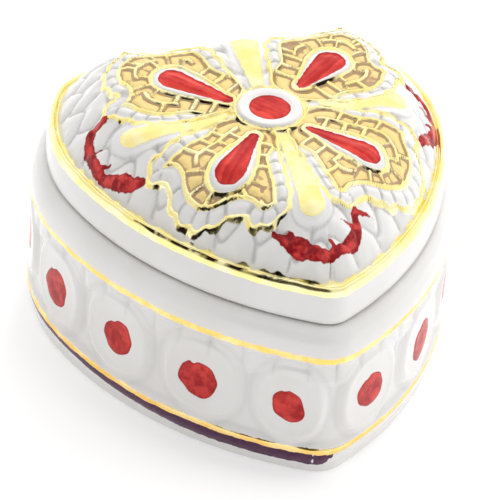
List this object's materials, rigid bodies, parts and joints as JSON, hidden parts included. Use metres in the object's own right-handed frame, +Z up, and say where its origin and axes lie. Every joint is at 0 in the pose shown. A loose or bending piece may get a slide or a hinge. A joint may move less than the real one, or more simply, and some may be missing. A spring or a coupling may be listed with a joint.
{
  "type": "heart-shaped trinket box",
  "caption": "Heart-shaped porcelain trinket box with medallion-moulded walls and a loose domed lid carrying a raised, gilded and enamelled flower; the lid lifts straight off.",
  "frame": {"origin": "on the table, under the middle of the box's bounding box", "axes": "+Z up; the tip of the heart points along -Y and its notch along +Y; +X is to the right seen from the tip"},
  "size_m": [0.0868, 0.0894, 0.0556],
  "materials": {
    "porcelain": "gloss",
    "gold_lustre": "polished",
    "red_enamel": "gloss",
    "plum_enamel": "gloss"
  },
  "bodies": {
    "box": {"box_body": "porcelain"},
    "lid": {"lid": "porcelain"}
  },
  "joints": [
    {"name": "lid_lift", "type": "slide", "parent": "box", "child": "lid", "axis": [0, 0, 1], "range_m": [0, 0.06]}
  ]
}
